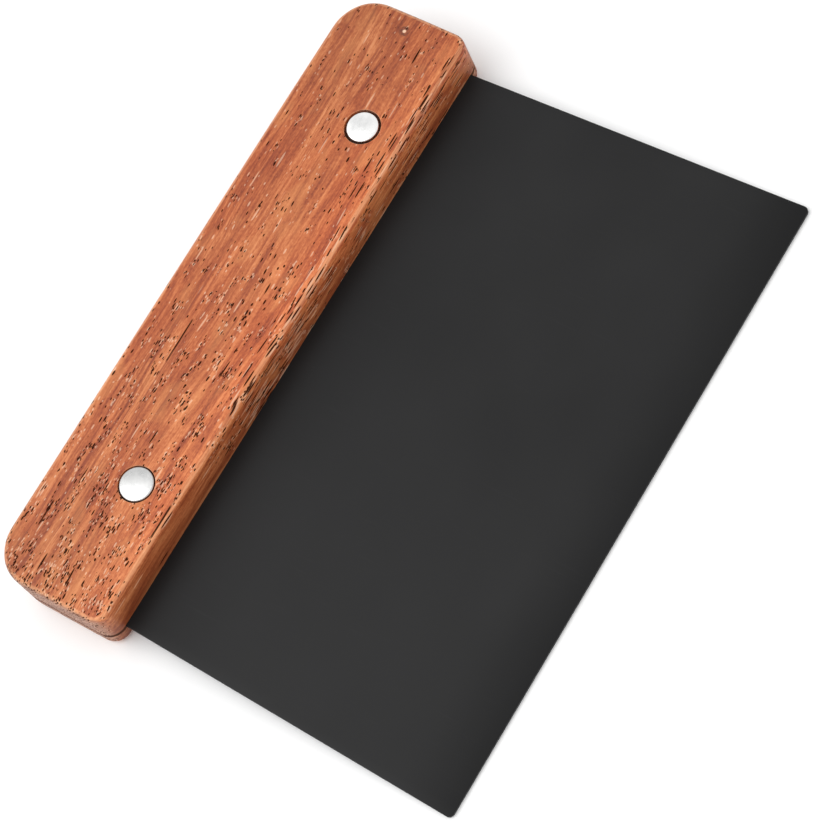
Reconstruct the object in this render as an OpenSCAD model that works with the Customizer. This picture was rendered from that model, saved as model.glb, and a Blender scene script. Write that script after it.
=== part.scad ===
// Bench scraper: a flat steel blade, a little wider at its working edge than at its handle, let
// into a saw kerf along the front of a one-piece wooden handle. It is held there by two
// compression rivets, each a pin half pressed into a sleeve half.
//
// Every piece is drawn in working axes first: X along the handle, Y from the working edge
// towards the handle, Z square to the blade, with the origin half way through the blade's
// thickness, at the middle of the line where the blade enters the handle. resting() then tips
// the pieces onto a bench top at Z = 0, where the scraper lies on its working edge and on the
// lower front edge of its handle, and centres it over the origin. All sizes are in millimetres.

/* [Blade] */
// Width of the blade at its working edge
blade_w = 152; // [130:1:200]
// How far each side draws in from the working edge to the handle
blade_taper = 2.5; // [0:0.25:5]
// Reach of the blade in front of the handle
blade_reach = 86; // [60:1:110]
// Thickness of the sheet
blade_t = 1; // [0.6:0.1:2]
// Radius of the blade's corners
blade_corner_r = 1.2; // [0.4:0.2:4]
// Depth of the tang inside the handle
tang_depth = 22; // [18:1:24]

/* [Handle] */
// Overhang of the handle past each side of the blade
handle_overhang = 4.25; // [1:0.25:12]
// Depth of the handle, front to back
handle_d = 32; // [28:0.5:46]
// Thickness of the wood above the blade
wood_above = 10; // [6:0.5:14]
// Thickness of the wood below the blade
wood_below = 4.5; // [3.5:0.5:12]
// Radius that eases the upper and lower edges all round
edge_r = 1.5; // [1:0.25:3.5]
// Corner radius at the front, seen from above
front_corner_r = 4; // [4:0.5:8]
// Corner radius at the back, seen from above
back_corner_r = 10; // [4:0.5:12]
// Room behind the tang at the bottom of the kerf
kerf_relief = 1.5; // [0.5:0.5:3]

/* [Rivets] */
// Distance between the two rivets
rivet_pitch = 95; // [60:1:100]
// Distance from the handle's middle to the rivet pair's middle
rivet_shift = 0.75; // [-3:0.25:3]
// Distance of the rivets behind the handle's front face
rivet_setback = 11; // [9.5:0.5:13]
// Diameter of the rivet heads
rivet_head_d = 8; // [7:0.2:9]
// Rise of each head's dome above the wood
rivet_dome = 0.3; // [0.1:0.1:0.3]
// Depth of the seat that each head is sunk into
rivet_seat_depth = 2; // [1:0.5:2.5]
// Gap round each head in its seat
rivet_seat_gap = 0.3; // [0.1:0.05:0.5]
// Outside diameter of the sleeve half
rivet_sleeve_d = 4.8; // [4.4:0.2:5.6]
// Diameter of the pin half
rivet_pin_d = 3.4; // [2.6:0.2:3.6]

/* [Hidden] */
$fn = 64;

LEFT = -1;
RIGHT = 1;
sleeve_gap = 0.1; // round the sleeve half, in the wood and in the blade
pin_gap = 0.03;   // round the pin half, in the sleeve half
end_gap = 0.5;    // left past the end of the pin and past the end of the sleeve
overcut = 1;      // how far a cutter runs past a face, and a shank into its head
corner_steps = 8; // short straight sides that make up each rounded corner of the blade

side_angle = atan2(blade_taper, blade_reach);
handle_w = blade_w + 2 * (handle_overhang - blade_taper);
kerf_d = tang_depth + kerf_relief;
top_z = blade_t / 2 + wood_above;
bottom_z = -blade_t / 2 - wood_below;
handle_t = top_z - bottom_z;
upper_seat_z = top_z - rivet_seat_depth;
lower_seat_z = bottom_z + rivet_seat_depth;
shank_h = upper_seat_z - lower_seat_z - end_gap;
head_r = rivet_head_d / 2;
dome_r = (pow(head_r, 2) + pow(rivet_dome, 2)) / (2 * rivet_dome);

// The bench runs from the blade's lower free corner, as a tangent, to the eased lower front
// edge of the handle. centre_y and centre_z go from that corner to the middle of the easing.
centre_y = blade_reach + edge_r;
centre_z = wood_below - edge_r;
lean = atan2(centre_z, centre_y) + asin(edge_r / norm([centre_y, centre_z]));
lift = blade_reach * sin(lean) + blade_t / 2 * cos(lean);
foremost_y = -blade_reach * cos(lean) - blade_t / 2 * sin(lean);
rearmost_y = (handle_d - edge_r) * cos(lean) - (bottom_z + edge_r) * sin(lean) + edge_r;

// Tips pieces from their working axes to the way the scraper lies on the bench
module resting() {
  translate([0, -(foremost_y + rearmost_y) / 2, lift]) rotate([lean, 0, 0]) children();
}

// Moves to the axis of one rivet
module at_rivet(side) {
  translate([rivet_shift + side * rivet_pitch / 2, rivet_setback, 0]) children();
}

module rounded_rectangle(w, h, r) {
  square([w - 2 * r, h], center = true);
  square([w, h - 2 * r], center = true);
  for (x = [-1, 1], y = [-1, 1]) translate([x * (w / 2 - r), y * (h / 2 - r)]) circle(r);
}

// Half the blade's width at y, less the room that a corner circle of radius r needs
function inside_side(y, r) =
  blade_w / 2 - ((blade_reach + y) * sin(side_angle) + r) / cos(side_angle);

function mirrored(p) = [-p[0], p[1]];

// Points round one corner of radius r, from angle from_a to angle to_a
function corner(centre, r, from_a, to_a) = [
  for (i = [0:corner_steps])
    let (a = from_a + (to_a - from_a) * i / corner_steps)
    centre + r * [cos(a), sin(a)]
];

// The sheet's outline: straight sides that draw in towards the tang, and four rounded corners
module blade_outline() {
  r = blade_corner_r;
  front = [inside_side(r - blade_reach, r), r - blade_reach];
  back = [inside_side(tang_depth - r, r), tang_depth - r];
  polygon(concat(
    corner(front, r, -90, side_angle),
    corner(back, r, side_angle, 90),
    corner(mirrored(back), r, 90, 180 - side_angle),
    corner(mirrored(front), r, 180 - side_angle, 270)
  ));
}

// The handle's thickness across a width w, with its edges eased
module eased_section(w) {
  rounded_rectangle(w, handle_t, edge_r);
}

// A quarter-round upright corner, with its rims eased like the straight edges
module eased_corner(r) {
  rotate_extrude(angle = 90) intersection() {
    eased_section(2 * r);
    translate([0, -handle_t]) square([r, 2 * handle_t]);
  }
}

// A strip along the handle, 2r deep, with the two corners on its +Y side rounded
module eased_strip(r) {
  half_w = handle_w / 2 - r;
  translate([-half_w, 0, 0]) rotate([90, 0, 90]) linear_extrude(2 * half_w) eased_section(2 * r);
  translate([half_w, 0, 0]) eased_corner(r);
  mirror([1, 0, 0]) translate([half_w, 0, 0]) eased_corner(r);
}

// The wooden bar before it is sawn and drilled: a front strip, a back strip and what lies
// between, with the middle of its thickness at Z = 0
module handle_blank() {
  translate([0, front_corner_r, 0]) mirror([0, 1, 0]) eased_strip(front_corner_r);
  translate([0, handle_d - back_corner_r, 0]) eased_strip(back_corner_r);
  translate([0, front_corner_r, 0]) rotate([-90, 0, 0])
    linear_extrude(handle_d - front_corner_r - back_corner_r) eased_section(handle_w);
}

// What is drilled out of the wood for one rivet: a through hole and a seat for each head
module rivet_bore() {
  translate([0, 0, bottom_z - overcut])
    cylinder(d = rivet_sleeve_d + 2 * sleeve_gap, h = handle_t + 2 * overcut);
  for (z = [upper_seat_z, bottom_z - overcut]) translate([0, 0, z])
    cylinder(r = head_r + rivet_seat_gap, h = rivet_seat_depth + overcut);
}

// A head standing on its seat at Z = 0, with a shallow dome
module rivet_head() {
  intersection() {
    cylinder(r = head_r, h = rivet_seat_depth + rivet_dome);
    translate([0, 0, rivet_seat_depth + rivet_dome - dome_r]) sphere(dome_r);
  }
}

module handle() {
  color("sienna") resting() difference() {
    translate([0, 0, (top_z + bottom_z) / 2]) handle_blank();
    translate([0, (kerf_d - overcut) / 2, 0])
      cube([handle_w + 2 * overcut, kerf_d + overcut, blade_t], center = true);
    for (side = [LEFT, RIGHT]) at_rivet(side) rivet_bore();
  }
}

module blade() {
  color([0.16, 0.16, 0.17]) resting() difference() {
    translate([0, 0, -blade_t / 2]) linear_extrude(blade_t) blade_outline();
    for (side = [LEFT, RIGHT]) at_rivet(side)
      cylinder(d = rivet_sleeve_d + 2 * sleeve_gap, h = blade_t + 2 * overcut, center = true);
  }
}

// The upper half: a head and a solid pin that reaches down into the sleeve
module rivet_pin(side) {
  color("silver") resting() at_rivet(side) {
    translate([0, 0, upper_seat_z]) rivet_head();
    translate([0, 0, lower_seat_z + end_gap]) cylinder(d = rivet_pin_d, h = shank_h + overcut);
  }
}

// The lower half: a head and a tube that reaches up through the kerf and the blade
module rivet_sleeve(side) {
  color("silver") resting() at_rivet(side) difference() {
    union() {
      translate([0, 0, lower_seat_z]) mirror([0, 0, 1]) rivet_head();
      translate([0, 0, lower_seat_z - overcut])
        cylinder(d = rivet_sleeve_d, h = shank_h + overcut);
    }
    translate([0, 0, lower_seat_z])
      cylinder(d = rivet_pin_d + 2 * pin_gap, h = upper_seat_z - lower_seat_z);
  }
}

handle();
blade();
rivet_pin(RIGHT);  // right_rivet_pin
rivet_sleeve(RIGHT);  // right_rivet_sleeve
rivet_pin(LEFT);  // left_rivet_pin
rivet_sleeve(LEFT);  // left_rivet_sleeve
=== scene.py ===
"""Looks of the bench scraper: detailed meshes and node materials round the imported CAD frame.

Every piece is made in the part's working axes, in millimetres: X along the handle, Y from the
working edge towards the handle, Z square to the blade, with the origin half way through the
blade's thickness where it enters the handle. REST tips them to the way the scraper lies.
"""

import math

import bmesh
import bpy
from mathutils import Matrix, Vector, geometry, noise


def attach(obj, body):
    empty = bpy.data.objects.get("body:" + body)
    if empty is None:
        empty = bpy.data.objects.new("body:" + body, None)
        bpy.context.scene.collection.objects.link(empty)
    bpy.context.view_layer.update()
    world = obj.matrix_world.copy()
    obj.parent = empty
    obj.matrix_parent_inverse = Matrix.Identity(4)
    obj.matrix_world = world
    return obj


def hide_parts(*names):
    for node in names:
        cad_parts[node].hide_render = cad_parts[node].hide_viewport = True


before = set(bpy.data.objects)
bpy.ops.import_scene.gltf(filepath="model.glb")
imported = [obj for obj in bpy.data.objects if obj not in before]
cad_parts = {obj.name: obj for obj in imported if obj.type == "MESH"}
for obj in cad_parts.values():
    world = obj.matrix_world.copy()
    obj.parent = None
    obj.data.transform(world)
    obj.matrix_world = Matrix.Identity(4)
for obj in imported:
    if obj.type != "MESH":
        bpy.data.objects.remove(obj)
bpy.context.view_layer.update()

MM = 0.001
TOUCH = 1e-6  # millimetres; points closer than this count as being at the same place
WELD = 1e-3  # millimetres; vertices closer than this are joined

# Sizes of the part, in millimetres
BLADE_W = 152.0
BLADE_TAPER = 2.5
BLADE_REACH = 86.0
BLADE_T = 1.0
BLADE_CORNER_R = 1.2
TANG = 22.0
HANDLE_W = 155.5
HANDLE_D = 32.0
WOOD_ABOVE = 10.0
WOOD_BELOW = 4.5
EDGE_R = 1.5
FRONT_R = 4.0
BACK_R = 10.0
KERF_D = 23.5
RIVET_PITCH = 95.0
RIVET_SHIFT = 0.75
RIVET_Y = 11.0
HEAD_R = 4.0
RIGHT_HEAD_R = 3.72  # the right rivet's heads look a little smaller in their seats
DOME = 0.3
SEAT_R = 4.3
SEAT_D = 2.0
BORE_R = 2.5
SLEEVE_R = 2.4
PIN_R = 1.7
PIN_GAP = 0.03
END_GAP = 0.5

# Small rounded rims, in millimetres
SEAT_RIM = 0.16
SHEET_RIM = 0.14
HEAD_RIM = 0.32
ROOT_FILLET = 0.15

# Worked out from those; TOP is above the middle of the blade's thickness and BOTTOM below it
HALF_BLADE = BLADE_T / 2
TOP = HALF_BLADE + WOOD_ABOVE
BOTTOM = HALF_BLADE + WOOD_BELOW
RIGHT_X = RIVET_SHIFT + RIVET_PITCH / 2
LEFT_X = RIVET_SHIFT - RIVET_PITCH / 2
RIVETS = [(LEFT_X, RIVET_Y), (RIGHT_X, RIVET_Y)]

# The way it lies: on the working edge and on the eased lower front edge of the handle
EASING_Y = BLADE_REACH + EDGE_R
EASING_Z = WOOD_BELOW - EDGE_R
LEAN = math.atan2(EASING_Z, EASING_Y) + math.asin(EDGE_R / math.hypot(EASING_Y, EASING_Z))
LIFT = BLADE_REACH * math.sin(LEAN) + HALF_BLADE * math.cos(LEAN)
FOREMOST = -BLADE_REACH * math.cos(LEAN) - HALF_BLADE * math.sin(LEAN)
REARMOST = (HANDLE_D - EDGE_R) * math.cos(LEAN) + (BOTTOM - EDGE_R) * math.sin(LEAN) + EDGE_R
SHIFT = -(FOREMOST + REARMOST) / 2
REST = Matrix.Translation((0, SHIFT * MM, LIFT * MM)) @ Matrix.Rotation(LEAN, 4, "X")


# ---------------------------------------------------------------- mesh helpers


def smooth01(a, b, x):
    """0 below a, 1 above b, and a smooth step between them."""
    t = min(max((x - a) / (b - a), 0.0), 1.0)
    return t * t * (3 - 2 * t)


def straight(p, q, normal, step):
    """Points from p towards q without q, each with the outward normal."""
    n = max(1, round(math.dist(p, q) / step))
    return [
        (p[0] + (q[0] - p[0]) * i / n, p[1] + (q[1] - p[1]) * i / n, *normal)
        for i in range(n)
    ]


def arc(centre, r, a0, a1, count, extra=()):
    """Points on an arc from a0 towards a1 degrees without a1, each with the outward normal."""
    angles = [a0 + (a1 - a0) * i / count for i in range(count)] + list(extra)
    out = []
    for a in sorted(angles):
        c, s = math.cos(math.radians(a)), math.sin(math.radians(a))
        out.append((centre[0] + r * c, centre[1] + r * s, c, s))
    return out


def circle_points(cx, cy, r, count):
    """count points round a circle."""
    angles = [2 * math.pi * i / count for i in range(count)]
    return [(cx + r * math.cos(a), cy + r * math.sin(a)) for a in angles]


def clear_of_rivets(x, y, room):
    """True if (x, y) is more than room away from both rivets' middles."""
    return all(math.dist((x, y), c) > room for c in RIVETS)


def fill(outer, holes, inner, keep):
    """A flat region as (points, triangles): inside outer, where keep says so of a triangle."""
    points, edges = [], []
    for loop in (outer, *holes):
        start = len(points)
        points += loop
        edges += [(start + i, start + (i + 1) % len(loop)) for i in range(len(loop))]
    points += inner
    verts, _, faces, *_ = geometry.delaunay_2d_cdt([Vector(p) for p in points], edges, [], 1, TOUCH)
    kept = []
    for f in faces:
        c = sum((verts[i] for i in f), Vector((0, 0))) / len(f)
        if keep(c.x, c.y):
            kept.append(f)
    return verts, kept


def add_flat(bm, region, z, slot=0):
    """A region made by fill, at height z."""
    verts, faces = region
    made = [bm.verts.new((v.x, v.y, z)) for v in verts]
    for f in faces:
        bm.faces.new([made[i] for i in f]).material_index = slot
    for v in made:
        if not v.link_faces:
            bm.verts.remove(v)


def add_strip(bm, rings, closed=True, slot=0):
    """Quads between successive rings of (x, y, z) points."""
    made = [[bm.verts.new(p) for p in ring] for ring in rings]
    n = len(rings[0])
    for a, b in zip(made, made[1:]):
        for i in range(n if closed else n - 1):
            j = (i + 1) % n
            bm.faces.new((a[i], a[j], b[j], b[i])).material_index = slot


def add_turned(bm, centre, profile, up=1, slot=0, count=80):
    """A profile of (r, z) points turned about the vertical through centre."""
    rings = [
        [(*q, up * z) for q in circle_points(*centre, max(r, 1e-4), count)] for r, z in profile
    ]
    add_strip(bm, rings, slot=slot)


def finish_mesh(bm, name, materials, sharp=35):
    """The object made from bm, joined up, tipped to rest and in metres, with its materials."""
    bmesh.ops.remove_doubles(bm, verts=bm.verts, dist=WELD)
    bmesh.ops.recalc_face_normals(bm, faces=bm.faces)
    bmesh.ops.scale(bm, vec=(MM, MM, MM), verts=bm.verts)
    bmesh.ops.transform(bm, matrix=REST, verts=bm.verts)
    mesh = bpy.data.meshes.new(name)
    bm.to_mesh(mesh)
    bm.free()
    for m in materials:
        mesh.materials.append(m)
    mesh.shade_smooth()
    mesh.set_sharp_from_angle(angle=math.radians(sharp))
    ob = bpy.data.objects.new(name, mesh)
    bpy.context.scene.collection.objects.link(ob)
    return ob


# ---------------------------------------------------------------- handle


def handle_outline():
    """The handle's plan outline, counter-clockwise, from the left end of the kerf's bottom."""
    w, d, f, b = HANDLE_W / 2, HANDLE_D, FRONT_R, BACK_R
    kerf = math.degrees(math.asin((KERF_D - (d - b)) / b))
    pts = []
    pts += straight((-w, d - b), (-w, f), (-1, 0), 1.0)
    pts += arc((-w + f, f), f, 180, 270, 12)
    pts += straight((-w + f, 0), (w - f, 0), (0, -1), 1.0)
    pts += arc((w - f, f), f, 270, 360, 12)
    pts += straight((w, f), (w, d - b), (1, 0), 1.0)
    pts += arc((w - b, d - b), b, 0, 90, 22, [kerf])
    pts += straight((w - b, d), (-w + b, d), (0, 1), 1.0)
    pts += arc((-w + b, d - b), b, 90, 180, 22, [180 - kerf])
    start = min(range(len(pts)), key=lambda i: math.dist(pts[i][:2], (-w, KERF_D)))
    return pts[start:] + pts[:start]


def inside_handle(x, y, inset):
    """True if (x, y) is more than inset inside the handle's plan outline."""
    w, d = HANDLE_W / 2, HANDLE_D
    if not (-w + inset < x < w - inset and inset < y < d - inset):
        return False
    for r, cy, beyond in ((FRONT_R, FRONT_R, y < FRONT_R), (BACK_R, d - BACK_R, y > d - BACK_R)):
        if beyond and abs(x) > w - r:
            return math.dist((abs(x), y), (w - r, cy)) < r - inset
    return True


def sanded(co):
    """Where a point of the ideal handle ends up after sanding: faces a little crowned and uneven.

    across, along and high run from 0 in the middle to 1 at the long sides, the ends and the
    upper or lower face.
    """
    x, y, z = co
    across = (y - HANDLE_D / 2) / (HANDLE_D / 2)
    along = abs(x) / (HANDLE_W / 2)
    high = z / TOP if z > 0 else -z / BOTTOM
    outer = smooth01(0.15, 0.65, high)
    uneven = 0.5 + 0.5 * noise.noise(Vector((x / 26, y / 11, z / 9)))
    drop = outer * (0.20 * across**2 + 0.16 * along**6 + 0.10 * uneven)
    z -= math.copysign(drop, z)
    side = 0.5 + 0.5 * noise.noise(Vector((x / 19 + 7, z / 8, 3.1)))
    bulge = 0.14 * high**2 + 0.07 * side
    if y < 1.2:
        y += bulge * smooth01(0.1, 0.3, high)
    elif y > HANDLE_D - 6:
        y -= (bulge + 0.08 * along**4) * smooth01(HANDLE_D - 6, HANDLE_D - 1, y)
    if abs(x) > HANDLE_W / 2 - 3:
        end_drop = 0.10 * across**2 + 0.08 * side
        x -= math.copysign(end_drop * smooth01(HANDLE_W / 2 - 3, HANDLE_W / 2, abs(x)), x)
    return x, y, z


def handle_grid():
    """Points spread over the flat of the handle's face, clear of its edges and the seats."""
    step = 1.1
    stagger = 0.3
    margin = 0.5
    out = []
    for i in range(int(HANDLE_W / step) + 1):
        for j in range(int(HANDLE_D / step) + 1):
            x, y = -HANDLE_W / 2 + i * step, j * step + stagger * (i % 2)
            clear = clear_of_rivets(x, y, SEAT_R + SEAT_RIM + margin)
            if clear and inside_handle(x, y, EDGE_R + margin):
                out.append((x, y))
    return out


def add_side(bm, outline, up, face):
    """The wall and the eased edge, from the kerf's face to the flat of the handle's face."""
    rows = [(0.0, HALF_BLADE + (face - EDGE_R - HALF_BLADE) * i / 8) for i in range(8)]
    for i in range(11):
        a = math.radians(90 * i / 10)
        rows.append((EDGE_R * (1 - math.cos(a)), face - EDGE_R + EDGE_R * math.sin(a)))
    add_strip(
        bm,
        [
            [(x - nx * inset, y - ny * inset, up * z) for x, y, nx, ny in outline]
            for inset, z in rows
        ],
    )


def add_bore(bm, centre, up, face):
    """A rivet's seat with its rounded rim, and its bore from there to the kerf."""
    rounded = [
        (SEAT_R + SEAT_RIM * (1 - math.sin(a)), face - SEAT_RIM * (1 - math.cos(a)))
        for a in (math.radians(22.5 * k) for k in range(5))
    ]
    half_down = (SEAT_R, face - SEAT_D / 2)
    seat = face - SEAT_D
    add_turned(bm, centre, [*rounded, half_down], up)
    sawn = [half_down, (SEAT_R, seat), (BORE_R, seat), (BORE_R, HALF_BLADE)]
    add_turned(bm, centre, sawn, up, 1)


def make_handle(materials):
    """The bar with its kerf, bores and seats; materials are the outer and the sawn wood, which
    carries painted shade.
    """
    bm = bmesh.new()
    outline = handle_outline()
    kerf = HALF_BLADE
    in_kerf = [p for p in outline if p[1] <= KERF_D + TOUCH]
    left, right = in_kerf[0], in_kerf[-1]
    bottom = straight(right[:2], left[:2], (0, -1), 2.0)[1:]
    seat_edge = SEAT_R + SEAT_RIM
    top = fill(
        [(x - nx * EDGE_R, y - ny * EDGE_R) for x, y, nx, ny in outline],
        [circle_points(*c, seat_edge, 80) for c in RIVETS],
        handle_grid(),
        lambda x, y: clear_of_rivets(x, y, seat_edge),
    )
    roof = fill(
        [p[:2] for p in in_kerf] + [p[:2] for p in bottom],
        [circle_points(*c, BORE_R, 80) for c in RIVETS],
        [],
        lambda x, y: clear_of_rivets(x, y, BORE_R),
    )
    for up, face in ((1, TOP), (-1, BOTTOM)):
        add_flat(bm, top, up * face)
        add_flat(bm, roof, up * kerf, 1)
        add_side(bm, outline, up, face)
        for c in RIVETS:
            add_bore(bm, c, up, face)
    # behind the kerf the wall runs through, and the kerf has a bottom
    start = min(i for i, p in enumerate(outline) if i > 0 and p[1] >= KERF_D - TOUCH)
    wall = outline[start:] + outline[:1]
    add_strip(bm, [[(*p[:2], z) for p in wall] for z in (-kerf, kerf)], closed=False)
    line = [right, *bottom, left]
    add_strip(bm, [[(*p[:2], z) for p in line] for z in (-kerf, kerf)], closed=False, slot=1)
    bmesh.ops.remove_doubles(bm, verts=bm.verts, dist=WELD)
    for v in bm.verts:
        v.co = sanded(v.co)
    return finish_mesh(bm, "handle_wood_bar", materials)


# ---------------------------------------------------------------- blade


def blade_outline():
    """The sheet's outline, counter-clockwise, each point with its outward normal."""
    r = BLADE_CORNER_R
    a = math.atan2(BLADE_TAPER, BLADE_REACH)
    turn = math.degrees(a)

    def inner(y):
        return BLADE_W / 2 - ((BLADE_REACH + y) * math.sin(a) + r) / math.cos(a)

    fy, by = r - BLADE_REACH, TANG - r
    fx, bx = inner(fy), inner(by)
    n = (math.cos(a), math.sin(a))
    pts = []
    pts += straight((-fx, -BLADE_REACH), (fx, -BLADE_REACH), (0, -1), 1.5)
    pts += arc((fx, fy), r, -90, turn, 10)
    pts += straight((fx + r * n[0], fy + r * n[1]), (bx + r * n[0], by + r * n[1]), n, 1.5)
    pts += arc((bx, by), r, turn, 90, 10)
    pts += straight((bx, TANG), (-bx, TANG), (0, 1), 1.5)
    pts += arc((-bx, by), r, 90, 180 - turn, 10)
    m = (-n[0], n[1])
    pts += straight((-bx + r * m[0], by + r * m[1]), (-fx + r * m[0], fy + r * m[1]), m, 1.5)
    pts += arc((-fx, fy), r, 180 - turn, 270, 10)
    return pts


def make_blade(material):
    """The sheet with its two rivet holes."""
    bm = bmesh.new()
    outline = blade_outline()
    half = HALF_BLADE
    rows = []
    for i in range(5):
        a = math.radians(90 * i / 4)
        rows.append((SHEET_RIM * (1 - math.sin(a)), -half + SHEET_RIM * (1 - math.cos(a))))
    rows += [(inset, -z) for inset, z in reversed(rows)]
    add_strip(
        bm,
        [[(x - nx * i, y - ny * i, z) for x, y, nx, ny in outline] for i, z in rows],
    )
    grid = []
    margin = 1.2
    step_x, step_y = 1.93, 3.9
    for i in range(-38, 39):
        for j in range(-21, 6):
            x, y = i * step_x, j * step_y
            side = BLADE_W / 2 - (BLADE_REACH + y) * BLADE_TAPER / BLADE_REACH
            inside = abs(x) < side - margin and -BLADE_REACH + margin < y < TANG - margin
            if inside and clear_of_rivets(x, y, BORE_R + 1):
                grid.append((x, y))
    region = fill(
        [(x - nx * SHEET_RIM, y - ny * SHEET_RIM) for x, y, nx, ny in outline],
        [circle_points(*c, BORE_R, 64) for c in RIVETS],
        grid,
        lambda x, y: clear_of_rivets(x, y, BORE_R),
    )
    for z in (half, -half):
        add_flat(bm, region, z)
    for c in RIVETS:
        add_turned(bm, c, [(BORE_R, -half), (BORE_R, half)], count=64)
    return finish_mesh(bm, "blade_sheet", [material])


# ---------------------------------------------------------------- rivets


def head_profile(head_r, face):
    """The dome and the rounded rim of a head, from its middle to its seat, as (r, z)."""
    ball = (HEAD_R**2 + DOME**2) / (2 * DOME)
    worn = 0.04
    flat_r = head_r - HEAD_RIM
    pts = []
    for i in range(15):
        r = flat_r * i / 14
        pts.append((r, face + DOME - worn - (ball - math.sqrt(ball**2 - r**2))))
    z0 = pts[-1][1]
    for i in range(1, 7):
        a = math.radians(90 * i / 6)
        pts.append((flat_r + HEAD_RIM * math.sin(a), z0 - HEAD_RIM * (1 - math.cos(a))))
    edge = 0.1
    pts.append((head_r, face - SEAT_D + edge))
    pts.append((head_r - edge, face - SEAT_D))
    return pts


def make_rivet(side, x, head_r, material):
    """The pin half and the sleeve half at x, each with its node's name.

    Both profiles run from the head's middle round to the axis again. The sleeve's is drawn
    upside down, with its head up, and turned over when it is made.
    """
    upper, lower = TOP - SEAT_D, BOTTOM - SEAT_D
    tip = END_GAP - lower
    point = 0.3
    pin = head_profile(head_r, TOP) + [
        (PIN_R + ROOT_FILLET, upper),
        (PIN_R, upper - ROOT_FILLET),
        (PIN_R, tip + point),
        (PIN_R - point, tip),
        (0, tip),
    ]
    mouth = END_GAP - upper
    lip = 0.1
    hole_r = PIN_R + PIN_GAP
    sleeve = head_profile(head_r, BOTTOM) + [
        (SLEEVE_R + ROOT_FILLET, lower),
        (SLEEVE_R, lower - ROOT_FILLET),
        (SLEEVE_R, mouth + lip),
        (SLEEVE_R - lip, mouth),
        (hole_r + lip, mouth),
        (hole_r, mouth + lip),
        (hole_r, lower),
        (0, lower),
    ]
    made = []
    for part, profile, up in (("pin", pin, 1), ("sleeve", sleeve, -1)):
        node = side + "_rivet_" + part
        bm = bmesh.new()
        add_turned(bm, (x, RIVET_Y), profile, up, count=96)
        made.append((finish_mesh(bm, node + "_half", [material], sharp=40), node))
    return made


# ---------------------------------------------------------------- materials


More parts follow.
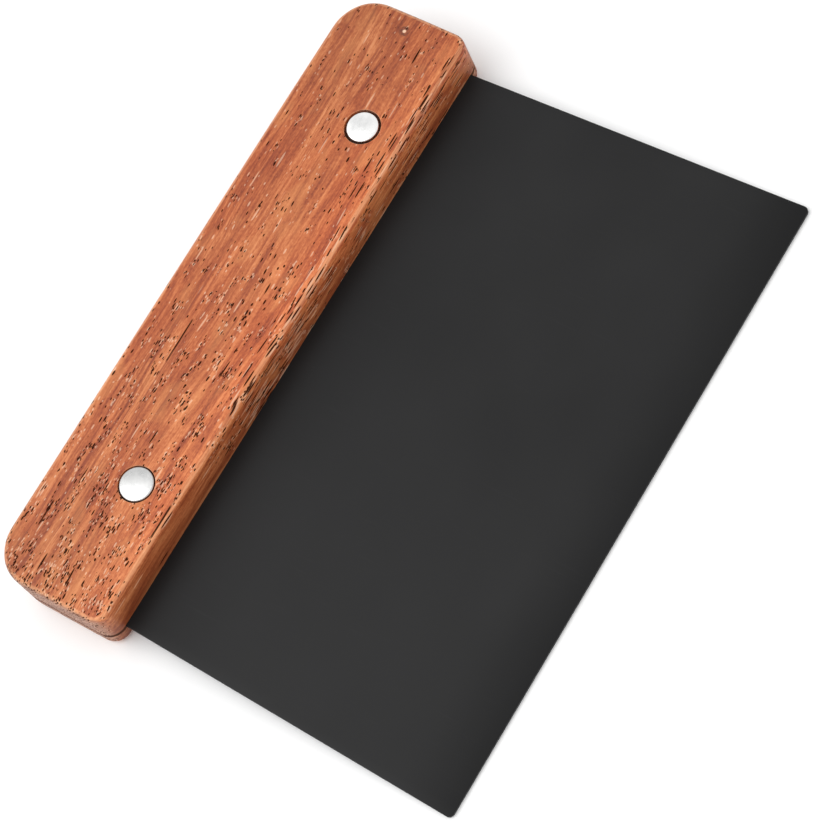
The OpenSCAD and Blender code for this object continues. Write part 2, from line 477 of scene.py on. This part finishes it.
class Shader:
    """A material's node tree, with short calls for the nodes used here."""

    def __init__(self, name):
        self.material = bpy.data.materials.new(name)
        self.material.use_nodes = True
        self.tree = self.material.node_tree
        self.tree.nodes.clear()
        out = self.tree.nodes.new("ShaderNodeOutputMaterial")
        self.bsdf = self.tree.nodes.new("ShaderNodeBsdfPrincipled")
        self.tree.links.new(self.bsdf.outputs["BSDF"], out.inputs["Surface"])

    def put(self, socket, value):
        """Links an output to the socket, or sets its value."""
        if hasattr(value, "links"):
            self.tree.links.new(value, socket)
        else:
            socket.default_value = value

    def node(self, kind, inputs=None, **props):
        """A new node with its properties and inputs set."""
        n = self.tree.nodes.new(kind)
        for k, v in props.items():
            setattr(n, k, v)
        for k, v in (inputs or {}).items():
            self.put(n.inputs[k], v)
        return n

    def math(self, op, a, b=0.0):
        return self.node("ShaderNodeMath", {0: a, 1: b}, operation=op).outputs[0]

    def vec(self, op, a, b):
        return self.node("ShaderNodeVectorMath", {0: a, 1: b}, operation=op).outputs[0]

    def position(self):
        """The working axes, in millimetres."""
        p = self.node("ShaderNodeTexCoord").outputs["Object"]
        p = self.vec("SUBTRACT", p, tuple(REST.to_translation()))
        turned = self.node(
            "ShaderNodeVectorRotate", {"Vector": p, "Angle": -LEAN}, rotation_type="X_AXIS"
        )
        return self.vec("MULTIPLY", turned.outputs[0], (1 / MM, 1 / MM, 1 / MM))

    def normal(self):
        """How much the surface faces along X, Y and Z, either way, in the working axes."""
        n = self.node("ShaderNodeNewGeometry").outputs["Normal"]
        turned = self.node(
            "ShaderNodeVectorRotate", {"Vector": n, "Angle": -LEAN}, rotation_type="X_AXIS"
        )
        return self.split(self.vec("ABSOLUTE", turned.outputs[0], (0, 0, 0)))

    def total(self, *parts):
        """The sum of values times their weights."""
        out = None
        for value, weight in parts:
            part = self.math("MULTIPLY", value, weight)
            out = part if out is None else self.math("ADD", out, part)
        return out

    def blend(self, fac, a, b):
        """The number a where fac is 0, b where it is 1."""
        n = self.node("ShaderNodeMix", data_type="FLOAT")
        for k, v in ((0, fac), (2, a), (3, b)):
            self.put(n.inputs[k], v)
        return n.outputs[0]

    def split(self, v):
        """The three parts of a vector."""
        n = self.node("ShaderNodeSeparateXYZ", {0: v})
        return n.outputs[0], n.outputs[1], n.outputs[2]

    def noise(self, p, size, detail=3.0, rough=0.5, offset=(0, 0, 0)):
        """Noise with features about size millimetres across in each axis, about 0 to 1."""
        q = self.vec("MULTIPLY", p, tuple(1 / s for s in size))
        q = self.vec("ADD", q, offset)
        n = self.node(
            "ShaderNodeTexNoise",
            {"Vector": q, "Scale": 1.0, "Detail": detail, "Roughness": rough},
        )
        return n.outputs["Fac"]

    def step(self, x, a, b, lo=0.0, hi=1.0):
        """lo at a, hi at b, smooth between; a may be above b."""
        if a > b:
            a, b, lo, hi = b, a, hi, lo
        n = self.node(
            "ShaderNodeMapRange",
            {"Value": x, "From Min": a, "From Max": b, "To Min": lo, "To Max": hi},
            interpolation_type="SMOOTHSTEP",
        )
        return n.outputs[0]

    def ramp(self, fac, stops):
        """A colour ramp with stops of (place, colour)."""
        n = self.node("ShaderNodeValToRGB", {"Fac": fac})
        e = n.color_ramp.elements
        while len(e) < len(stops):
            e.new(0.5)
        for el, (pos, col) in zip(e, stops):
            el.position = pos
            el.color = (*col, 1)
        return n.outputs["Color"]

    def mix(self, fac, a, b, blend="MIX"):
        """The colour a where fac is 0, b blended over it where it is 1."""
        n = self.node("ShaderNodeMix", data_type="RGBA", blend_type=blend)
        for k, v in ((0, fac), (6, a), (7, b)):
            self.put(n.inputs[k], (*v, 1) if isinstance(v, tuple) and len(v) == 3 else v)
        return n.outputs[2]

    def shade(self, color, factor):
        """color times a grey factor."""
        grey = self.node("ShaderNodeCombineColor", {0: factor, 1: factor, 2: factor}).outputs[0]
        return self.mix(1.0, color, grey, "MULTIPLY")

    def dashes(self, q, size, radius, density, offset):
        """Short dashes along X at points q, more of them where density is high."""
        v = self.vec("ADD", self.vec("MULTIPLY", q, tuple(1 / k for k in size)), offset)
        cell = self.node("ShaderNodeTexVoronoi", {"Vector": v, "Scale": 1.0, "Randomness": 1.0})
        chance = self.split(cell.outputs["Color"])[0]
        on = self.math("LESS_THAN", chance, density)
        return self.math("MULTIPLY", self.step(cell.outputs["Distance"], radius, radius * 0.7), on)

    def pores(self, q, dots, lines):
        """Open pores: dots and short dashes, and long thin lines."""
        a = self.dashes(q, (2.1, 0.52, 0.52), 0.40, dots, (0, 0, 0))
        b = self.dashes(q, (1.1, 0.44, 0.44), 0.39, dots, (2.6, 3.3, 5.2))
        c = self.dashes(q, (7.0, 0.62, 0.62), 0.38, lines, (4.2, 7.1, 1.9))
        return self.math("MAXIMUM", self.math("MAXIMUM", a, b), c)

    def near(self, value, middle, half, soft):
        """1 where value is within half of middle, and soft edges."""
        off = self.math("ABSOLUTE", self.math("SUBTRACT", value, middle))
        return self.step(off, half + soft, half)

    def bump(self, height, depth, strength):
        """A normal bumped by height times depth metres."""
        inputs = {"Height": height, "Distance": depth, "Strength": strength}
        return self.node("ShaderNodeBump", inputs).outputs[0]

    def end(self, **inputs):
        """The material, once the inputs of its surface are set; _ stands for a space."""
        for k, v in inputs.items():
            self.put(self.bsdf.inputs[k.replace("_", " ")], v)
        return self.material


def grain_parts(s):
    """Coordinates and noise shared by the outer and the sawn faces of the wood."""
    p = s.position()
    wander = s.node(
        "ShaderNodeTexNoise",
        {"Vector": s.vec("MULTIPLY", p, (1 / 80, 1 / 16, 1 / 16)), "Scale": 1.0, "Detail": 2.0},
    ).outputs["Color"]
    wander = s.vec("MULTIPLY", s.vec("SUBTRACT", wander, (0.5, 0.5, 0.5)), (0, 7, 7))
    q = s.vec("ADD", p, wander)
    x, y, z = s.split(q)
    # rings round a pith below and in front of the bar
    dy = s.math("ADD", y, 24.0)
    dz = s.math("ADD", z, 46.0)
    ring = s.math("SQRT", s.math("ADD", s.math("MULTIPLY", dy, dy), s.math("MULTIPLY", dz, dz)))
    rq = s.node("ShaderNodeCombineXYZ", {0: s.math("MULTIPLY", x, 1 / 260), 1: ring, 2: 0.0})
    bands = s.noise(rq.outputs[0], (1, 2.1, 1), detail=3.0, rough=0.6)
    streaks = s.noise(q, (26, 0.75, 0.75), detail=4.0, rough=0.62)
    fibres = s.noise(q, (5.5, 0.2, 0.2), detail=2.0, rough=0.5)
    return p, q, bands, streaks, fibres


# Colours of the wood from its darkest streaks to its palest
WOOD_TONES = [
    (0.37, (0.170, 0.030, 0.010)),
    (0.44, (0.330, 0.070, 0.022)),
    (0.50, (0.490, 0.130, 0.040)),
    (0.56, (0.670, 0.225, 0.082)),
    (0.64, (0.810, 0.330, 0.145)),
]
AMBER = (0.660, 0.255, 0.088)
DARK_STREAK = (0.270, 0.050, 0.018)
END_TONES = [(0.36, (0.230, 0.110, 0.072)), (0.60, (0.410, 0.230, 0.158))]
WORN_EDGE_HIGHLIGHT = (0.820, 0.385, 0.190)
KNOT_RING = (0.10, 0.026, 0.014)
LIT_FLECK = (0.930, 0.640, 0.440)
PORE = (0.018, 0.005, 0.003)

# Long cracks in the upper face, as (middle x, y, half length), and a small knot
CRACKS = [(-14.0, 21.0, 5.0), (-61.4, 26.0, 2.6), (-51.5, 1.2, 3.6)]
KNOT = (73.0, 15.0)
# Middle of the stretch of the front edge that has the most open pores
DENSE_X = -8.0


def wood_color(s, p, q, bands, streaks, fibres, grit):
    """The wood's own colour: bands and streaks, with paler, redder and amber patches."""
    mottle = s.noise(q, (8, 2.0, 2.0), detail=3.0, rough=0.6, offset=(0, 2.2, 6.1))
    tone = s.total((bands, 0.30), (streaks, 0.30), (mottle, 0.16), (fibres, 0.10), (grit, 0.14))
    color = s.ramp(tone, WOOD_TONES)
    cloud = s.noise(p, (30, 8, 8), detail=2.0, offset=(3.7, 0, 0))
    color = s.mix(s.step(cloud, 0.42, 0.64), color, (0.92, 0.80, 0.74), "MULTIPLY")
    amber = s.noise(p, (12, 4.5, 4.5), detail=2.0, offset=(0, 9.4, 2.0))
    color = s.mix(s.math("MULTIPLY", s.step(amber, 0.52, 0.68), 0.30), color, AMBER)

    # dark red streaks, most of them in the back half
    _, y, _ = s.split(p)
    line = s.noise(q, (30, 0.9, 0.9), detail=3.0, rough=0.6, offset=(7.7, 3.1, 0))
    line = s.math("MULTIPLY", s.step(line, 0.56, 0.68), s.step(y, 12.0, 20.0, 0.25, 0.75))
    return s.mix(line, color, DARK_STREAK)


def painted_light_and_shade_on_wood(s, color, p, facing_z, front):
    """color with painted light and shade: darker towards the back and the ends, lighter along the
    front of the upper face, and on the front face darker near the blade and lighter towards the
    right end.
    """
    x, y, z = s.split(p)
    # painted light near the front and painted shade towards the back
    color = s.shade(color, s.step(y, 3.0, 24.0, 1.04, 0.93))
    strip = s.step(y, 2.0, 11.0, 1.11, 0.99)
    color = s.shade(color, s.blend(s.step(facing_z, 0.60, 0.90), 1.0, strip))
    # painted shade towards both ends
    color = s.shade(color, s.step(x, 30.0, 70.0, 1.0, 0.90))
    color = s.shade(color, s.step(x, -45.0, -70.0, 1.0, 0.93))
    # painted shade on the front face near the blade, and painted light towards its right end
    painted_front_face_shade = s.step(z, 0.5, 9.0, 0.62, 1.0)
    painted_front_face_shade = s.math("MULTIPLY", painted_front_face_shade, s.step(x, -70.0, 70.0, 0.94, 1.18))
    return s.shade(color, s.blend(front, 1.0, painted_front_face_shade))


def pore_density(s, p, end, front):
    """How dense the open pores are: dots, and long thin lines.

    Dots stand in clusters, most at the left end and fewest at the right, smaller clusters on the
    end grain, and none at the left of the front face. Lines run along the front face and its
    upper edge.
    """
    x, y, z = s.split(p)
    crowd = s.noise(p, (4.6, 2.0, 2.0), detail=2.0, offset=(0, 5.3, 0))
    crowd = s.math("ADD", crowd, s.step(x, -66.0, -76.0, 0.0, 0.08))
    crowd = s.math("ADD", crowd, s.step(x, -60.0, 45.0, 0.04, -0.06))
    crowd = s.step(crowd, 0.55, 0.62, 0.0, 0.56)
    crowd = s.math("MULTIPLY", crowd, s.blend(end, 1.0, 0.45))
    bare = s.math("MULTIPLY", front, s.step(x, -20.0, -40.0))
    dots = s.math("ADD", s.total((crowd, 1.0), (end, 0.06)), 0.035)
    dots = s.math("MULTIPLY", dots, s.math("SUBTRACT", 1.0, bare))

    patchy = s.step(s.noise(p, (15, 6, 6), detail=1.0, offset=(6.3, 0, 1.2)), 0.38, 0.52)
    rim = s.math("MULTIPLY", s.step(y, 4.5, 1.0), s.near(x, 24.0, 44.0, 10.0))
    rim = s.math("MULTIPLY", rim, s.step(z, 5.0, 9.0, 0.3, 1.0))
    dense = s.math("MULTIPLY", s.near(x, DENSE_X, 12.0, 5.0), s.step(y, 4.0, 2.0))
    lines = s.math("MAXIMUM", s.math("MULTIPLY", rim, patchy), dense)
    return dots, s.math("ADD", s.math("MULTIPLY", lines, 0.85), 0.025)


def cracks(s, p, fibres):
    """1 in the long cracks."""
    x, y, _ = s.split(p)
    out = None
    for middle, across, half in CRACKS:
        crack = s.math("MULTIPLY", s.near(x, middle, half, 1.0), s.near(y, across, 0.12, 0.12))
        crack = s.math("MULTIPLY", crack, s.step(fibres, 0.30, 0.42))
        out = crack if out is None else s.math("MAXIMUM", out, crack)
    return out


def wood_material():
    s = Shader("oiled_reddish_hardwood")
    p, q, bands, streaks, fibres = grain_parts(s)
    x, _, z = s.split(p)
    nx, ny, nz = s.normal()
    end = s.step(nx, 0.45, 0.90)
    front = s.step(ny, 0.55, 0.90)
    upper = s.step(z, 6.0, 8.0)
    grit = s.noise(q, (0.75, 0.38, 0.38), detail=2.0, offset=(1.9, 0, 4.4))

    color = wood_color(s, p, q, bands, streaks, fibres, grit)
    # end grain: greyer, with the rings faintly in it
    color = s.mix(s.math("MULTIPLY", end, 0.75), color, s.ramp(bands, END_TONES))
    # the eased edges: a painted highlight there, on wood that handling has worn paler
    worn = s.math("MULTIPLY", s.step(nz, 0.50, 0.72), s.step(nz, 0.985, 0.90))
    worn = s.math("MULTIPLY", worn, s.step(streaks, 0.30, 0.60, 0.15, 0.62))
    color = s.mix(worn, color, WORN_EDGE_HIGHLIGHT)
    # painted light and shade by place on the handle
    color = painted_light_and_shade_on_wood(s, color, p, nz, front)

    # open pores, each with its lit side next to it, and the cracks
    dots, lines = pore_density(s, p, end, front)
    pores = s.pores(q, dots, lines)
    lit = s.pores(s.vec("ADD", q, (0.10, 0.30, 0.30)), dots, lines)
    lit = s.math("MULTIPLY", lit, s.math("SUBTRACT", 1.0, pores))
    lit = s.math("MULTIPLY", lit, s.blend(end, s.step(x, 15.0, 45.0, 0.42, 0.32), 0.24))
    pores = s.math("MAXIMUM", pores, s.math("MULTIPLY", cracks(s, p, fibres), upper))

    # the knot: a dark ring with a pale middle
    away = s.vec("MULTIPLY", s.vec("SUBTRACT", p, (*KNOT, TOP)), (1, 1, 0))
    away = s.node("ShaderNodeVectorMath", {0: away}, operation="LENGTH").outputs["Value"]
    ring = s.math("MULTIPLY", s.near(away, 0.8, 0.15, 0.6), s.step(grit, 0.35, 0.60, 0.2, 0.85))
    color = s.mix(s.math("MULTIPLY", ring, upper), color, KNOT_RING)
    lit = s.math("MAXIMUM", lit, s.math("MULTIPLY", s.step(away, 0.55, 0.25, 0.0, 0.8), upper))

    color = s.mix(lit, color, LIT_FLECK)
    color = s.mix(s.math("MULTIPLY", pores, 0.95), color, PORE)

    height = s.math("SUBTRACT", s.total((fibres, 0.35), (streaks, 0.35)), pores)
    rough = s.math("ADD", s.total((fibres, 0.18), (pores, 0.30)), 0.42)
    return s.end(
        Base_Color=color,
        Roughness=rough,
        IOR=1.42,
        Specular_IOR_Level=s.math("SUBTRACT", 0.5, s.math("MULTIPLY", pores, 0.5)),
        Normal=s.bump(height, 0.00010, 0.8),
    )


def sawn_wood_painted_shade_material():
    s = Shader("sawn_wood_inside_painted_shade")
    p, _, bands, streaks, fibres = grain_parts(s)
    tone = s.math("ADD", s.math("MULTIPLY", bands, 0.5), s.math("MULTIPLY", streaks, 0.5))
    # painted shade: the sawn faces in the kerf and the seats are much darker than the outer wood,
    # for the shade in these recesses
    color = s.ramp(
        tone,
        [(0.3, (0.070, 0.022, 0.012)), (0.5, (0.135, 0.050, 0.026)), (0.7, (0.210, 0.085, 0.045))],
    )
    teeth = s.noise(p, (0.35, 9, 0.35), detail=2.0)
    return s.end(
        Base_Color=color,
        Roughness=s.math("ADD", 0.72, s.math("MULTIPLY", teeth, 0.2)),
        Normal=s.bump(s.math("ADD", teeth, fibres), 0.00012, 0.7),
    )


def coating_material():
    s = Shader("satin_black_coating")
    p = s.position()
    _, y, _ = s.split(p)
    peel = s.noise(p, (0.42, 0.42, 0.42), detail=2.0)
    cloud = s.noise(p, (38, 30, 30), detail=2.0, offset=(1.3, 8.2, 0))
    rub = s.noise(p, (0.5, 22, 22), detail=3.0, rough=0.7, offset=(9.1, 0, 0))
    rub = s.step(rub, 0.60, 0.78)
    color = s.ramp(cloud, [(0.3, (0.0108, 0.0108, 0.0112)), (0.7, (0.0145, 0.0145, 0.0149))])
    color = s.mix(s.math("MULTIPLY", rub, 0.18), color, (0.034, 0.034, 0.036))
    # painted shade: darker and less reflective towards the working edge and towards the handle
    painted_edge_shade = s.math(
        "MULTIPLY", s.step(y, -87.0, -70.0, 0.77, 1.06), s.step(y, 0.0, -24.0, 0.86, 1.0)
    )
    rough = s.total((cloud, 0.16), (rub, -0.05))
    return s.end(
        Base_Color=s.shade(color, painted_edge_shade),
        Roughness=s.math("ADD", rough, 0.37),
        IOR=1.27,
        Specular_IOR_Level=s.math("MULTIPLY", painted_edge_shade, 0.5),
        Normal=s.bump(peel, 0.000012, 0.6),
    )


def rivet_material():
    s = Shader("bright_spun_aluminium")
    p = s.position()
    x, y, _ = s.split(p)
    dx = s.math("SUBTRACT", s.math("ABSOLUTE", s.math("SUBTRACT", x, RIVET_SHIFT)), RIVET_PITCH / 2)
    dy = s.math("SUBTRACT", y, RIVET_Y)
    r = s.math("SQRT", s.math("ADD", s.math("MULTIPLY", dx, dx), s.math("MULTIPLY", dy, dy)))
    rings = s.node("ShaderNodeCombineXYZ", {0: r, 1: s.math("MULTIPLY", dx, 0.12), 2: 0.0})
    spun = s.noise(rings.outputs[0], (0.09, 0.3, 1), detail=2.0)
    cloud = s.noise(p, (2.4, 2.4, 2.4), detail=3.0, rough=0.6)
    color = s.ramp(cloud, [(0.3, (0.85, 0.855, 0.85)), (0.7, (0.985, 0.985, 0.975))])
    # painted shade: a little darker towards the middle of each head
    color = s.shade(color, s.step(r, 0.6, 3.3, 0.90, 1.0))
    # painted shade: the left rivet's metal up to a third darker than the right's
    color = s.shade(color, s.step(x, -40.0, 40.0, 0.66, 1.0))
    rough = s.math("ADD", 0.20, s.math("MULTIPLY", cloud, 0.2))
    return s.end(
        Base_Color=color,
        Metallic=1.0,
        Roughness=rough,
        Normal=s.bump(s.math("ADD", spun, cloud), 0.000015, 0.5),
    )


def floor_material():
    s = Shader("pale_matt_board")
    p = s.position()
    mottle = s.noise(p, (60, 60, 60), detail=2.0)
    color = s.ramp(mottle, [(0.3, (0.955, 0.955, 0.955)), (0.7, (0.970, 0.970, 0.970))])
    return s.end(Base_Color=color, Roughness=0.9)


# ---------------------------------------------------------------- pieces

wood = wood_material()
sawn = sawn_wood_painted_shade_material()
coating = coating_material()
metal = rivet_material()

handle = make_handle([wood, sawn])
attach(handle, "root")
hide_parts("handle")

blade = make_blade(coating)
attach(blade, "root")
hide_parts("blade")

for side, x, head_r in (("right", RIGHT_X, RIGHT_HEAD_R), ("left", LEFT_X, HEAD_R)):
    for piece, node in make_rivet(side, x, head_r, metal):
        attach(piece, "root")
        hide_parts(node)


# ---------------------------------------------------------------- floor, lights, camera


# In metres
FLOOR_HALF = 1.6
FLOOR_CELLS = 24
WORLD_STRENGTH = 0.90
KEY_PLACE = (-0.35, 0.35, 0.95)
KEY_SIZE = 0.9
KEY_POWER = 5.0

# The camera, with its places in millimetres
PLACE = Vector((-137.8, -284.0, 555.5)) * MM
AIM = Vector((-4.8, -6.2, 10.0)) * MM
ROLL = math.radians(-35.85)
LENS = 128.21
SENSOR = 36.0


def make_floor():
    bm = bmesh.new()
    n = FLOOR_CELLS
    marks = [-FLOOR_HALF + 2 * FLOOR_HALF * i / n for i in range(n + 1)]
    verts = [[bm.verts.new((x, y, 0)) for y in marks] for x in marks]
    for i in range(n):
        for j in range(n):
            bm.faces.new((verts[i][j], verts[i + 1][j], verts[i + 1][j + 1], verts[i][j + 1]))
    mesh = bpy.data.meshes.new("studio_floor")
    bm.to_mesh(mesh)
    bm.free()
    mesh.materials.append(floor_material())
    ob = bpy.data.objects.new("studio_floor", mesh)
    bpy.context.scene.collection.objects.link(ob)


def make_world():
    world = bpy.data.worlds.new("studio_world")
    bpy.context.scene.world = world
    world.use_nodes = True
    background = world.node_tree.nodes["Background"]
    background.inputs["Color"].default_value = (1, 1, 1, 1)
    background.inputs["Strength"].default_value = WORLD_STRENGTH


def make_key_softbox():
    """A square area light that faces the origin."""
    light = bpy.data.lights.new("key_softbox", "AREA")
    light.shape = "RECTANGLE"
    light.size = light.size_y = KEY_SIZE
    light.energy = KEY_POWER
    ob = bpy.data.objects.new("key_softbox", light)
    bpy.context.scene.collection.objects.link(ob)
    ob.location = KEY_PLACE
    ob.rotation_mode = "QUATERNION"
    ob.rotation_quaternion = (-Vector(KEY_PLACE)).to_track_quat("-Z", "Y")


def make_camera():
    """A camera at PLACE that looks at AIM and is turned by ROLL about its line of sight."""
    data = bpy.data.cameras.new("photo_camera")
    data.lens = LENS
    data.sensor_width = SENSOR
    data.clip_start = 0.01
    camera = bpy.data.objects.new("photo_camera", data)
    bpy.context.scene.collection.objects.link(camera)
    bpy.context.scene.camera = camera
    ahead = (AIM - PLACE).normalized()
    level = ahead.cross(Vector((0, 0, 1))).normalized()
    above = level.cross(ahead)
    right = level * math.cos(ROLL) + above * math.sin(ROLL)
    top = above * math.cos(ROLL) - level * math.sin(ROLL)
    turn = Matrix((right, top, -ahead)).transposed().to_4x4()
    camera.matrix_world = Matrix.Translation(PLACE) @ turn


make_floor()
make_world()
make_key_softbox()
make_camera()
bpy.context.scene.view_settings.view_transform = "Standard"
